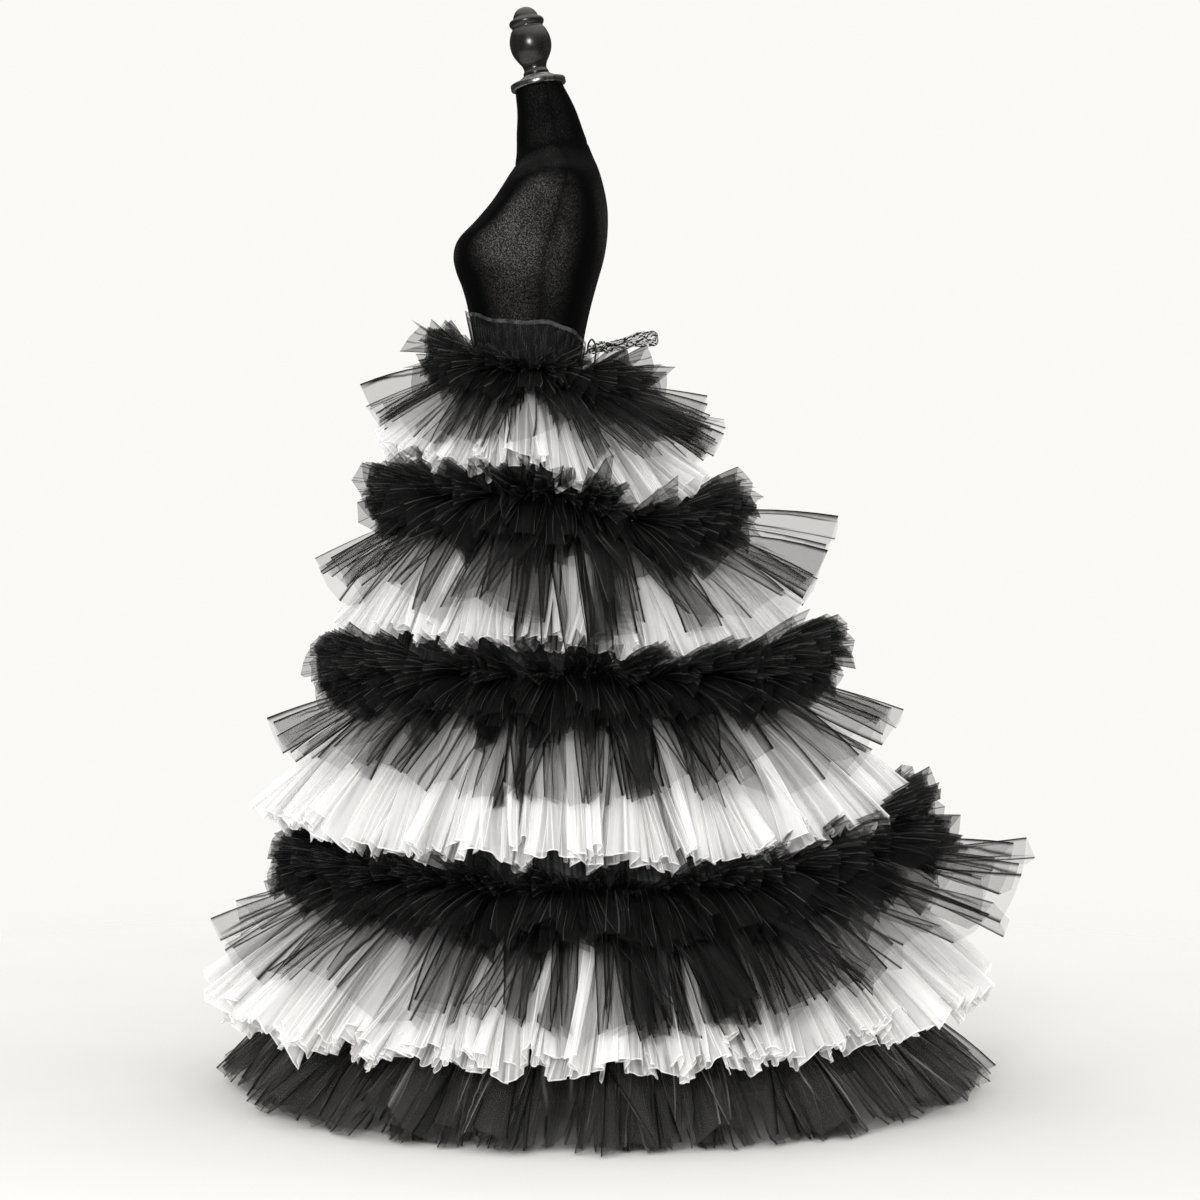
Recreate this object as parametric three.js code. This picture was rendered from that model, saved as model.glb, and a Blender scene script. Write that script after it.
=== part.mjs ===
// A tiered tulle overskirt on a limbless velvet dress form with a turned finial, on a pole and a round foot.
// Millimetres, +Z up, the wearer's front towards -Y and the wearer's left towards +X.
// The origin is on the floor, under the pole.
//
// The cloth is built the way it is sewn: a plain base skirt hangs from a waistband, and each of four seams
// on it carries three gathered strips. The short black ruche is gathered along its middle, so it has an
// upper and a lower wing. The long black flounce and the white flounce under it are gathered along their
// tops. A last black flounce hides the hem.
import * as THREE from "three";

const COLUMNS = 40; // corners round the torso and round every ring of cloth, so that rings lie parallel
const CLOTH = 2.2; // wall of a gathered flounce, which is many layers of net
const SKIRT_WALL = 1.6; // wall of the plain base skirt and of the waistband
const GAP = 0.5; // left between pieces that are sewn or that rest on each other
const STRIP_GAP = 0.7; // left between a gathered strip and the base skirt
const SEAM_STEP = 12; // height between the three gathering lines of one seam
const SEAM_BAND = 4; // height of the flat band where a ruche is stitched down along its middle
const FLOOR_CLEARANCE = 3; // lowest point of the cloth
const HALF_TURN = Math.PI;
const RAD = Math.PI / 180;

const COLOURS = {
  velvet: 0x0c0b0b,
  turned: 0x2b2826,
  metal: 0x6f6b66,
  steel: 0x3a3a3c,
  blackTulle: 0x141313,
  whiteTulle: 0xf1f0ee,
};

function material(colour, roughness, metalness = 0) {
  return new THREE.MeshStandardMaterial({ color: colour, roughness, metalness });
}

const VELVET = material(COLOURS.velvet, 0.95);
const TURNED = material(COLOURS.turned, 0.35);
const CAP_METAL = material(COLOURS.metal, 0.35, 0.8);
const STEEL = material(COLOURS.steel, 0.4, 0.9);
const BLACK_TULLE = material(COLOURS.blackTulle, 0.8);
const WHITE_TULLE = material(COLOURS.whiteTulle, 0.8);

// ---------------------------------------------------------------- closed meshes from rings of points

// The index of a closed skin over `across` loops of `around` corners, last loop joined to first if `closed`.
// From corner `back` on, each four-sided patch is split the other way. The two sides of a thin wall whose loops
// run out along one side and back along the other are then split alike, and can't pass through each other.
function skinFaces(across, around, closed, back = around) {
  const faces = [];
  const last = closed ? across : across - 1;
  for (let i = 0; i < last; i++) {
    for (let k = 0; k < around; k++) {
      const a = i * around + k;
      const b = i * around + ((k + 1) % around);
      const c = ((i + 1) % across) * around + k;
      const d = ((i + 1) % across) * around + ((k + 1) % around);
      if (k < back) faces.push(a, c, b, b, c, d);
      else faces.push(a, c, d, a, d, b);
    }
  }
  return faces;
}

function signedVolume(points, faces) {
  let sum = 0;
  for (let i = 0; i < faces.length; i += 3) {
    const [a, b, c] = [points[faces[i]], points[faces[i + 1]], points[faces[i + 2]]];
    sum += a.dot(new THREE.Vector3().crossVectors(b, c));
  }
  return sum / 6;
}

// A geometry whose faces point out, whichever way round its rings were listed.
function closedGeometry(points, faces) {
  const turned = signedVolume(points, faces) < 0;
  const index = turned ? [...faces].reverse() : faces;
  const flat = points.flatMap((p) => [p.x, p.y, p.z]);
  const geometry = new THREE.BufferGeometry();
  geometry.setAttribute("position", new THREE.Float32BufferAttribute(flat, 3));
  geometry.setIndex(index);
  geometry.computeVertexNormals();
  return geometry;
}

// A wall that runs all round: for each column one loop of corners, out along one side and back along the other.
function ringWall(loops) {
  const around = loops[0].length;
  return closedGeometry(loops.flat(), skinFaces(loops.length, around, true, around / 2));
}

// A solid through rings from its bottom to its top, closed by a fan at each end.
function loft(rings) {
  const around = rings[0].length;
  const points = rings.flat();
  const faces = skinFaces(rings.length, around, false);
  const ends = [
    { ring: rings[0], start: 0, order: [0, 1] },
    { ring: rings.at(-1), start: points.length - around, order: [1, 0] },
  ];
  for (const { ring, start, order } of ends) {
    const centre = ring.reduce((sum, p) => sum.add(p), new THREE.Vector3()).divideScalar(around);
    const middle = points.push(centre) - 1;
    for (let k = 0; k < around; k++) faces.push(middle, start + ((k + order[0]) % around), start + ((k + order[1]) % around));
  }
  return closedGeometry(points, faces);
}

function mesh(name, geometry, look) {
  const made = new THREE.Mesh(geometry, look);
  made.name = name;
  return made;
}

// ---------------------------------------------------------------- directions round the figure

// Column 0 is the front and column COLUMNS / 4 the wearer's left.
function turnOf(column) {
  return (column / COLUMNS) * 2 * HALF_TURN;
}

// A value between its front, side and back sizes, the same on the wearer's left and right.
function around(column, front, side, back) {
  const c = Math.cos(turnOf(column));
  const end = c > 0 ? front : back;
  return side + (end - side) * c * c;
}

// A repeatable number from -1 to 1 for column i of the strip with this seed.
function uneven(i, seed) {
  const s = Math.sin(i * 12.9898 + seed * 78.233) * 43758.5453;
  return 2 * (s - Math.floor(s)) - 1;
}

function lerp(a, b, t) {
  return a + (b - a) * t;
}

// ---------------------------------------------------------------- dress form

// Level sections of the torso: height, front and back edge, half width, and how square the section is.
// cleft is how far the front dips at its middle, and lean how much a neck section climbs towards the back.
const TORSO = [
  { z: 880, front: -92, back: 98, half: 148, square: 2.2, cleft: 0, lean: 0 },
  { z: 905, front: -101, back: 110, half: 159, square: 2.2, cleft: 0, lean: 0 },
  { z: 955, front: -106, back: 118, half: 164, square: 2.2, cleft: 0, lean: 0 },
  { z: 1010, front: -103, back: 113, half: 157, square: 2.2, cleft: 0, lean: 0 },
  { z: 1070, front: -96, back: 97, half: 138, square: 2.2, cleft: 0, lean: 0 },
  { z: 1112, front: -91, back: 87, half: 122, square: 2.2, cleft: 0, lean: 0 },
  { z: 1156, front: -88, back: 82, half: 115, square: 2.2, cleft: 0, lean: 0 },
  { z: 1196, front: -92, back: 87, half: 119, square: 2.2, cleft: 0, lean: 0 },
  { z: 1245, front: -103, back: 97, half: 129, square: 2.3, cleft: 3, lean: 0 },
  { z: 1276, front: -113, back: 105, half: 137, square: 2.4, cleft: 8, lean: 0 },
  { z: 1301, front: -123, back: 112, half: 144, square: 2.5, cleft: 13, lean: 0 },
  { z: 1322, front: -127, back: 118, half: 149, square: 2.5, cleft: 15, lean: 0 },
  { z: 1347, front: -121, back: 123, half: 155, square: 2.5, cleft: 13, lean: 0 },
  { z: 1382, front: -89, back: 126, half: 163, square: 2.4, cleft: 6, lean: 0 },
  { z: 1410, front: -65, back: 125, half: 168, square: 2.3, cleft: 2, lean: 0 },
  { z: 1438, front: -46, back: 120, half: 169, square: 2.2, cleft: 0, lean: 0 },
  { z: 1458, front: -35, back: 115, half: 150, square: 2.0, cleft: 0, lean: 0 },
  { z: 1474, front: -26, back: 110, half: 106, square: 2.0, cleft: 0, lean: 0 },
  { z: 1490, front: -23, back: 103, half: 71, square: 2.0, cleft: 0, lean: 0 },
  { z: 1529, front: -22, back: 88, half: 54, square: 2.0, cleft: 0, lean: 0 },
  { z: 1568, front: -21, back: 72, half: 46, square: 2.0, cleft: 0, lean: 0.1 },
  { z: 1604, front: -24, back: 52, half: 40, square: 2.0, cleft: 0, lean: 0.19 },
];
const CLEFT_WIDTH = 36; // half width of the dip between the bust cups

function torsoSectionPoint(section, column) {
  const turn = turnOf(column);
  const power = 2 / section.square;
  const side = Math.sign(Math.sin(turn)) * Math.abs(Math.sin(turn)) ** power;
  const ahead = Math.sign(Math.cos(turn)) * Math.abs(Math.cos(turn)) ** power;
  const middle = (section.front + section.back) / 2;
  const x = section.half * side;
  const dip = ahead > 0 ? section.cleft * Math.exp(-((x / CLEFT_WIDTH) ** 2)) : 0;
  const y = middle - ((section.back - section.front) / 2) * ahead + dip;
  return new THREE.Vector3(x, y, section.z + section.lean * (y - middle));
}

// A point on the torso's own facets, at a height below the neck.
function torsoPoint(column, z) {
  const above = TORSO.findIndex((s) => s.z >= z);
  const [low, high] = [TORSO[above - 1], TORSO[above]];
  const share = (z - low.z) / (high.z - low.z);
  return torsoSectionPoint(low, column).lerp(torsoSectionPoint(high, column), share);
}

function torso() {
  const rings = TORSO.map((s) => Array.from({ length: COLUMNS }, (_, i) => torsoSectionPoint(s, i)));
  return mesh("form_torso", loft(rings), VELVET);
}

const NECK_TOP = TORSO.at(-1);
const NECK_TILT = Math.atan(NECK_TOP.lean);
const CAP = { radius: 45, edge: 11, step: 28, stepHeight: 9, round: 2.5 };
// The finial's outline: height above the cap, and radius.
const FINIAL = [
  { up: 0, r: 20 },
  { up: 3, r: 21 },
  { up: 9, r: 18.5 },
  { up: 17, r: 20 },
  { up: 27, r: 26 },
  { up: 38, r: 31.5 },
  { up: 50, r: 33.7 },
  { up: 62, r: 32.5 },
  { up: 73, r: 28.5 },
  { up: 80, r: 25 },
  { up: 82, r: 27 },
  { up: 87, r: 28.5 },
  { up: 92, r: 26.5 },
  { up: 94, r: 21 },
  { up: 101, r: 19 },
  { up: 107, r: 14 },
  { up: 111, r: 7 },
];
const FINIAL_HEIGHT = 112;
const LATHE_SIDES = 28;

function lathe(profile) {
  const outline = profile.map(([r, z]) => new THREE.Vector2(r, z));
  const turned = new THREE.LatheGeometry(outline, LATHE_SIDES);
  return turned.rotateX(HALF_TURN / 2);
}

// What stands on the neck shares the neck's forward tilt.
function headGroup() {
  const { radius, edge, step, stepHeight, round } = CAP;
  const cap = mesh("neck_cap", lathe([
    [0, 0],
    [radius - round, 0],
    [radius, round],
    [radius, edge - round],
    [radius - round, edge],
    [step, edge],
    [step - 1, edge + stepHeight],
    [0, edge + stepHeight],
  ]), CAP_METAL);
  const outline = FINIAL.map((p) => [p.r, p.up]);
  const finial = mesh("finial", lathe([[0, 0], ...outline, [0, FINIAL_HEIGHT]]), TURNED);
  finial.position.z = edge + stepHeight + GAP;
  const group = new THREE.Group();
  group.add(cap, finial);
  group.position.set(0, (NECK_TOP.front + NECK_TOP.back) / 2, NECK_TOP.z + GAP);
  group.rotation.x = NECK_TILT;
  return group;
}

const FOOT = { radius: 190, height: 16, rim: 6, hub: 34, hubHeight: 34 };
const POLE_RADIUS = 16;

function stand() {
  const { radius, height, rim, hub, hubHeight } = FOOT;
  const foot = mesh("stand_foot", lathe([
    [0, 0],
    [radius, 0],
    [radius, rim],
    [hub, height],
    [hub - 8, hubHeight],
    [0, hubHeight],
  ]), STEEL);
  const bottom = hubHeight + GAP;
  const top = TORSO[0].z - GAP;
  const pole = mesh("stand_pole", lathe([
    [0, bottom],
    [POLE_RADIUS, bottom],
    [POLE_RADIUS, top],
    [0, top],
  ]), STEEL);
  return [foot, pole];
}

// ---------------------------------------------------------------- base skirt

// Rings that the base skirt passes through, from the waist down: heights at the front, side and back,
// front and back edges, half width, and how far the ring sags halfway between side and back.
// The first two hug the torso, so they have no sizes of their own.
const SEAMS = {
  top: { zFront: 1166, zSide: 1141, zBack: 1136, sag: 6, hugs: true },
  waist: { zFront: 1126, zSide: 1101, zBack: 1096, sag: 8, hugs: true },
  hip: { zFront: 1050, zSide: 1042, zBack: 1042, front: -124, back: 146, half: 158, sag: 26 },
  second: { zFront: 930, zSide: 922, zBack: 925, front: -162, back: 250, half: 198, sag: 40 },
  third: { zFront: 650, zSide: 648, zBack: 668, front: -226, back: 365, half: 287, sag: 12 },
  fourth: { zFront: 345, zSide: 335, zBack: 385, front: -290, back: 500, half: 385, sag: 0 },
  fifth: { zFront: 165, zSide: 150, zBack: 175, front: -326, back: 545, half: 420, sag: 0 },
  hem: { zFront: 14, zSide: 14, zBack: 14, front: -346, back: 572, half: 440, sag: 0 },
};
const RING_NAMES = Object.keys(SEAMS);

// Outward direction, level with the floor, at a column.
function outwardAt(column) {
  return new THREE.Vector3(Math.sin(turnOf(column)), -Math.cos(turnOf(column)), 0);
}

// The inner face of the base skirt where it passes a ring.
function ringPoint(name, column) {
  const ring = SEAMS[name];
  const turn = turnOf(column);
  const sagShare = Math.cos(turn) < 0 ? Math.sin(2 * turn) ** 2 : 0;
  const z = around(column, ring.zFront, ring.zSide, ring.zBack) - ring.sag * sagShare;
  if (ring.hugs) return torsoPoint(column, z).addScaledVector(outwardAt(column), GAP);
  const middle = (ring.front + ring.back) / 2;
  const reach = (ring.back - ring.front) / 2;
  return new THREE.Vector3(ring.half * Math.sin(turn), middle - reach * Math.cos(turn), z);
}

// The outer face of the base skirt at a share of the way from one ring down to the next.
function skirtFace(column, name, down = 0) {
  const at = RING_NAMES.indexOf(name);
  const next = RING_NAMES[Math.min(at + 1, RING_NAMES.length - 1)];
  const inner = ringPoint(name, column).lerp(ringPoint(next, column), down);
  return inner.addScaledVector(outwardAt(column), SKIRT_WALL);
}

function columnsOf(loopAt) {
  return Array.from({ length: COLUMNS }, (_, i) => loopAt(i));
}

function baseSkirt() {
  const loops = columnsOf((i) => {
    const inside = RING_NAMES.map((name) => ringPoint(name, i));
    const outside = RING_NAMES.map((name) => skirtFace(i, name)).reverse();
    return [...inside, ...outside];
  });
  return mesh("base_skirt", ringWall(loops), BLACK_TULLE);
}

// ---------------------------------------------------------------- waistband and closure

// A soft wide band of net, higher in front than behind, that leaves the torso a little towards its top.
const BAND = { topFront: 1240, topSide: 1217, topBack: 1190, loose: 3.5, fold: 1.6 };

function waistband() {
  const loops = columnsOf((i) => {
    const out = outwardAt(i);
    const bottom = ringPoint("top", i).z + GAP;
    const top = around(i, BAND.topFront, BAND.topSide, BAND.topBack) + 2 * uneven(i, 3);
    const heights = [bottom, (bottom + top) / 2, top];
    const clear = [0, BAND.loose / 2, BAND.loose + BAND.fold * uneven(i, 5)];
    const at = (k, more) => torsoPoint(i, heights[k]).addScaledVector(out, GAP + clear[k] + more);
    const inside = [0, 1, 2].map((k) => at(k, 0));
    const outside = [2, 1, 0].map((k) => at(k, SKIRT_WALL));
    return [...inside, ...outside];
  });
  return mesh("waistband", ringWall(loops), BLACK_TULLE);
}

// A sheer ribbon folded into a loop at the centre back, and a small cord loop beside it.
const TIE = { length: 118, opening: 22, width: 26, wall: 1.6, lift: 11, roll: 38, height: 1179 };
const TIE_BEND_STEPS = 8;

function tieLoop() {
  const { length, opening, width, wall, lift, roll, height } = TIE;
  const half = opening / 2;
  const root = 3; // half the distance between the two ends, where they are sewn on
  const bend = length - half;
  const shape = new THREE.Shape();
  shape.moveTo(0, root);
  shape.lineTo(bend, half);
  shape.absarc(bend, 0, half, HALF_TURN / 2, -HALF_TURN / 2, true);
  shape.lineTo(0, -root);
  shape.lineTo(0, -root + wall);
  shape.lineTo(bend, -half + wall);
  shape.absarc(bend, 0, half - wall, -HALF_TURN / 2, HALF_TURN / 2, false);
  shape.lineTo(0, root - wall);
  shape.closePath();
  const options = { depth: width, bevelEnabled: false, curveSegments: TIE_BEND_STEPS };
  const made = mesh("tie_loop", new THREE.ExtrudeGeometry(shape, options).translate(0, 0, -width / 2), BLACK_TULLE);
  // The outline's own x runs back, away from the waist, and its depth across the waist.
  const across = new THREE.Euler((90 + roll) * RAD, 0, 0);
  made.geometry.applyMatrix4(new THREE.Matrix4().makeRotationFromEuler(across));
  made.geometry.rotateY(-lift * RAD);
  made.geometry.rotateZ(HALF_TURN / 2);
  const rollDepth = (width / 2) * Math.sin(roll * RAD) * Math.sin(lift * RAD);
  const back = torsoPoint(COLUMNS / 2, height).y;
  made.position.set(0, back + GAP + BAND.loose + SKIRT_WALL + rollDepth + root, height);
  return made;
}

const CORD_LOOP = { radius: 1.6, width: 13, height: 24, side: 26, bottom: 1172 };
const CORD_SIDES = 8;
const CORD_STEPS = 14;

function cordLoop() {
  const { radius, width, height, side, bottom } = CORD_LOOP;
  const section = new THREE.Shape();
  for (let k = 0; k < CORD_SIDES; k++) {
    const turn = (k / CORD_SIDES) * 2 * HALF_TURN;
    const [x, y] = [radius * Math.cos(turn), radius * Math.sin(turn)];
    if (k === 0) section.moveTo(x, y);
    else section.lineTo(x, y);
  }
  section.closePath();
  const straight = height - width / 2;
  const route = new THREE.CatmullRomCurve3([
    new THREE.Vector3(0, 0, 0),
    new THREE.Vector3(0, 0, straight * 0.55),
    new THREE.Vector3(0, width * 0.12, straight),
    new THREE.Vector3(0, width / 2, height),
    new THREE.Vector3(0, width * 0.88, straight),
    new THREE.Vector3(0, width, straight * 0.55),
    new THREE.Vector3(0, width, 6),
  ]);
  const options = { steps: CORD_STEPS, bevelEnabled: false, extrudePath: route };
  const made = mesh("cord_loop", new THREE.ExtrudeGeometry(section, options), BLACK_TULLE);
  const column = Math.round((1 - Math.asin(side / 119) / HALF_TURN) * (COLUMNS / 2));
  const face = torsoPoint(column, bottom + height / 2);
  const stand = GAP + BAND.loose + BAND.fold + SKIRT_WALL + radius;
  made.position.set(face.x, face.y + stand, bottom);
  return made;
}

// ---------------------------------------------------------------- gathered strips

// Both sides of a wall of thickness `wall` along a line in its own plane, mitred at the corners.
function bothSides(line, wall) {
  const directions = line.slice(1).map((p, k) => p.clone().sub(line[k]).normalize());
  const normalAt = (k) => {
    const before = directions[Math.max(k - 1, 0)];
    const after = directions[Math.min(k, directions.length - 1)];
    const [a, b] = [before, after].map((d) => new THREE.Vector2(-d.y, d.x));
    const mitre = a.clone().add(b).normalize();
    return mitre.divideScalar(Math.max(mitre.dot(b), 0.3));
  };
  const side = (sign) => line.map((p, k) => p.clone().addScaledVector(normalAt(k), (sign * wall) / 2));
  return { left: side(1), right: side(-1) };
}

// One arm of a gathered strip in its column's upright plane, from the gathering line outwards.
// The first half leaves at the arm's own angle, and the second half also carries the pleat.
function armLine(length, angle, droop, pleat) {
  const first = (angle + droop + pleat * 0.45) * RAD;
  const second = (angle - droop + pleat * 1.25) * RAD;
  const half = length / 2;
  const middle = new THREE.Vector2(Math.cos(first), Math.sin(first)).multiplyScalar(half);
  const tip = middle.clone().add(new THREE.Vector2(Math.cos(second), Math.sin(second)).multiplyScalar(half));
  return [middle, tip];
}

// Lengths and angles below level of each arm at the front, side and back.
// pleat is how far a pleat's crest stands above the mean angle, and its valley below it.
const ARMS = {
  1: {
    upper: { length: [88, 92, 112], angle: [19, 22, 12], pleat: 7, droop: 0 },
    lower: { length: [88, 96, 128], angle: [-5, -20, -8], pleat: 6, droop: 2 },
    black: { length: [184, 178, 240], angle: [-27, -38, -19], pleat: 6, droop: 4 },
    white: { length: [192, 188, 252], angle: [-48, -53, -34], pleat: 5, droop: 3 },
  },
  2: {
    upper: { length: [106, 118, 112], angle: [26, 32, 10], pleat: 10, droop: 0 },
    lower: { length: [98, 112, 114], angle: [-8, -24, -10], pleat: 7, droop: 2 },
    black: { length: [192, 220, 240], angle: [-30, -41, -19], pleat: 7, droop: 4 },
    white: { length: [222, 222, 238], angle: [-53, -59, -39], pleat: 5, droop: 3 },
  },
  3: {
    upper: { length: [130, 132, 152], angle: [24, 32, 19], pleat: 8, droop: 0 },
    lower: { length: [114, 126, 150], angle: [-5, -22, -3], pleat: 7, droop: 2 },
    black: { length: [196, 212, 228], angle: [-28, -43, -22], pleat: 8, droop: 4 },
    white: { length: [276, 268, 290], angle: [-46, -55, -38], pleat: 5, droop: 3 },
  },
  4: {
    upper: { length: [120, 124, 172], angle: [14, 22, 25], pleat: 7, droop: 0 },
    lower: { length: [120, 140, 182], angle: [-6, -16, 7], pleat: 5, droop: 2 },
    black: { length: [232, 258, 294], angle: [-27, -37, -12], pleat: 8, droop: 4 },
    white: { length: [282, 290, 322], angle: [-42, -48, -40], pleat: 6, droop: 3 },
  },
  5: {
    black: { length: [214, 210, 244], angle: [-43, -44, -40], pleat: 3, droop: -3 },
  },
};
const LENGTH_SHARE = 0.03; // how uneven the cut ends are

// The arm's line at a column, in (outwards, up) from the gathering line.
function armAt(arm, column, seed) {
  const length = around(column, ...arm.length) * (1 + LENGTH_SHARE * uneven(column, seed));
  const crest = column % 2 === 0 ? 1 : -1;
  const pleat = arm.pleat * crest * (1 + 0.2 * uneven(column, seed + 1));
  return armLine(length, around(column, ...arm.angle), arm.droop, pleat);
}

// The line of a ruche: down its upper wing, over the stitched band and out along its lower wing.
function seamedLine(upper, lower) {
  const top = new THREE.Vector2(0, SEAM_BAND);
  const bottom = new THREE.Vector2(0, 0);
  return [...upper.map((p) => p.add(top)).reverse(), top, bottom, ...lower];
}

// How far out a wall must stand so that its nearest corner is clear of the face that it hangs on.
function seat(corners, faceNormal) {
  const nearest = Math.min(...corners.map((p) => p.dot(faceNormal)));
  return (STRIP_GAP - nearest) / faceNormal.x;
}

// A strip's wall all round. Its gathering line runs on the base skirt, a distance below a ring.
function strip(name, ring, below, arms, seed, look) {
  const next = RING_NAMES[RING_NAMES.indexOf(ring) + 1];
  const loops = columnsOf((i) => {
    const out = outwardAt(i);
    const down = ringPoint(next, i).sub(ringPoint(ring, i));
    const start = skirtFace(i, ring, below / down.length());
    const [first, ...others] = arms.map((arm, k) => armAt(arm, i, seed + 10 * k));
    const line = others.length ? seamedLine(first, others[0]) : [new THREE.Vector2(0, 0), ...first];
    const { left, right } = bothSides(line, CLOTH);
    const corners = [...left, ...right.reverse()];
    const standOff = seat(corners, new THREE.Vector2(-down.z, down.dot(out)).normalize());
    return corners.map((p) => {
      const z = Math.max(start.z + p.y, FLOOR_CLEARANCE);
      return start.clone().addScaledVector(out, standOff + p.x).setZ(z);
    });
  });
  return mesh(name, ringWall(loops), look);
}

function tier(number, ring) {
  const arms = ARMS[number];
  const seed = number * 17;
  return [
    strip(`ruche_${number}`, ring, 2, [arms.upper, arms.lower], seed, BLACK_TULLE),
    strip(`black_flounce_${number}`, ring, 2 + SEAM_STEP, [arms.black], seed + 3, BLACK_TULLE),
    strip(`white_flounce_${number}`, ring, 2 + 2 * SEAM_STEP, [arms.white], seed + 6, WHITE_TULLE),
  ];
}

const overskirtOnForm = new THREE.Group();
overskirtOnForm.add(torso(), headGroup(), ...stand());
overskirtOnForm.add(baseSkirt(), waistband(), tieLoop(), cordLoop());
overskirtOnForm.add(...tier(1, "top"), ...tier(2, "second"), ...tier(3, "third"), ...tier(4, "fourth"));
overskirtOnForm.add(strip("hem_flounce", "fifth", 2, [ARMS[5].black], 91, BLACK_TULLE));

export default overskirtOnForm;
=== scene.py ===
"""A tiered tulle overskirt on a velvet dress form: its visible surfaces, materials, light and camera.

Metres, +Z up, the wearer's front towards -Y and the wearer's left towards +X, as in the CAD model.
Every gathered strip is one open sheet of net, folded into uneven pleats that keep the width of the cloth.
Angles called turn go round the figure from the front, over the wearer's left.
"""

import math
from types import SimpleNamespace as Named

import bmesh
import bpy
import numpy as np
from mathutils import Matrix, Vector


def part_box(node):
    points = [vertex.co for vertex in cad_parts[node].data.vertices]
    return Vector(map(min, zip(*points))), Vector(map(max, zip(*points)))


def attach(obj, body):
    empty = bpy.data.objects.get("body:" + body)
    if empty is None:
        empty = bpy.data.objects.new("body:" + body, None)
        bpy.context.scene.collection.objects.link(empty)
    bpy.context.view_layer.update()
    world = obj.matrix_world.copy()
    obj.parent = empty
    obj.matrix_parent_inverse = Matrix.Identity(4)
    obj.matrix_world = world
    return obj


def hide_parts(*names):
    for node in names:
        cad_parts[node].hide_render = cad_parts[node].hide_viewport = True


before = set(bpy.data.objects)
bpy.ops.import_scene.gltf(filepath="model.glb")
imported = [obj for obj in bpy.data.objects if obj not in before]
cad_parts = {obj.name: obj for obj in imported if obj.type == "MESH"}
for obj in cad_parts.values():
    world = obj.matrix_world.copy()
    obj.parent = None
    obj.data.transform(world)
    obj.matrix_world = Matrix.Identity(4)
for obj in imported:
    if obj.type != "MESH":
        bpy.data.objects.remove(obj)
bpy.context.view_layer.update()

BODY = "root"
SEED = 7041
MM = 0.001
TAU = 2 * math.pi


def table(columns, *rows):
    """Rows by their name, which comes first in each, with its other values by column."""
    return {name: Named(**dict(zip(columns.split(), values))) for name, *values in rows}


# ---- sizes shared with the CAD model

# Sections of the dress form in millimetres: height, front and back edge, half width, squareness of the
# outline, depth of the hollow between the breasts, and how much the section tips up towards the back.
TORSO = [
    # z, front, back, half, square, cleft, lean
    (880, -92, 98, 148, 2.2, 0, 0),
    (905, -101, 110, 159, 2.2, 0, 0),
    (955, -106, 118, 164, 2.2, 0, 0),
    (1010, -103, 113, 157, 2.2, 0, 0),
    (1070, -96, 97, 138, 2.2, 0, 0),
    (1112, -91, 87, 122, 2.2, 0, 0),
    (1156, -88, 82, 115, 2.2, 0, 0),
    (1196, -92, 87, 119, 2.2, 0, 0),
    (1245, -103, 97, 129, 2.3, 3, 0),
    (1276, -113, 105, 137, 2.4, 8, 0),
    (1301, -123, 112, 144, 2.5, 13, 0),
    (1322, -127, 118, 149, 2.5, 15, 0),
    (1347, -121, 123, 155, 2.5, 13, 0),
    (1382, -89, 126, 163, 2.4, 6, 0),
    (1410, -65, 125, 168, 2.3, 2, 0),
    (1438, -46, 120, 169, 2.2, 0, 0),
    (1458, -35, 115, 150, 2.0, 0, 0),
    (1474, -26, 110, 106, 2.0, 0, 0),
    (1490, -23, 103, 71, 2.0, 0, 0),
    (1529, -22, 88, 54, 2.0, 0, 0),
    (1568, -21, 72, 46, 2.0, 0, 0.1),
    (1604, -24, 52, 40, 2.0, 0, 0.19),
]
CLEFT_WIDTH = 36

# Rings of the base skirt, in millimetres: heights, front and back edge, half width, and how far the ring
# sags between side and back.
RINGS = table(
    "z_front z_side z_back front back half sag",
    ("top", 1166, 1141, 1136, -94, 85, 119, 6),
    ("waist", 1126, 1101, 1096, -93, 91, 127, 8),
    ("hip", 1050, 1042, 1042, -124, 146, 158, 26),
    ("second", 930, 922, 925, -162, 250, 198, 40),
    ("third", 650, 648, 668, -226, 365, 287, 12),
    ("fourth", 345, 335, 385, -290, 500, 385, 0),
    ("fifth", 165, 150, 175, -326, 545, 420, 0),
    ("hem", 14, 14, 14, -346, 572, 440, 0),
)
RING_ORDER = list(RINGS)
SKIRT_WALL = 1.6

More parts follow.
